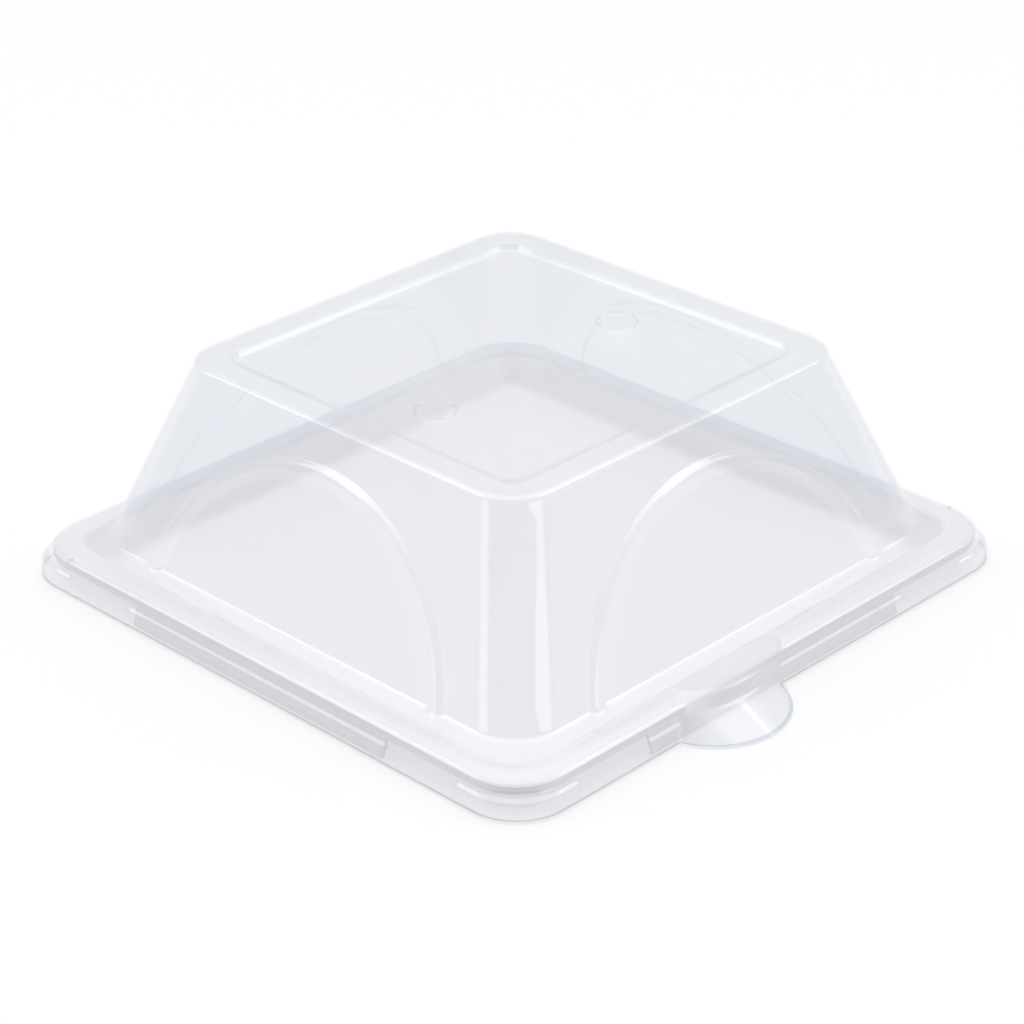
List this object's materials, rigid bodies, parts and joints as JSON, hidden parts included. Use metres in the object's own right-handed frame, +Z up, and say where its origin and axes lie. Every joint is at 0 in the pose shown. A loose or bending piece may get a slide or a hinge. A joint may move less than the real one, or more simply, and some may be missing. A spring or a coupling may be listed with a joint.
{
  "type": "humidity dome tray",
  "caption": "Clear square thermoformed dome lid with arch beads and a thumb tab, snapped over a shallow white base tray.",
  "frame": {"origin": "centre of the base tray's flat underside", "axes": "+Z up through the dome roof, -Y towards the side with the thumb tab, +X to the right when facing the tab"},
  "size_m": [0.16, 0.1716, 0.0525],
  "materials": {
    "clear_lid": "glossy clear PET sheet",
    "white_tray": "satin white sheet"
  },
  "bodies": {
    "tray": {"base_tray": "white_tray"},
    "lid": {"dome_lid": "clear_lid"}
  },
  "joints": [
    {"name": "lid_lift", "type": "slide", "parent": "tray", "child": "lid", "axis": [0, 0, 1], "range_m": [0, 0.06]}
  ]
}
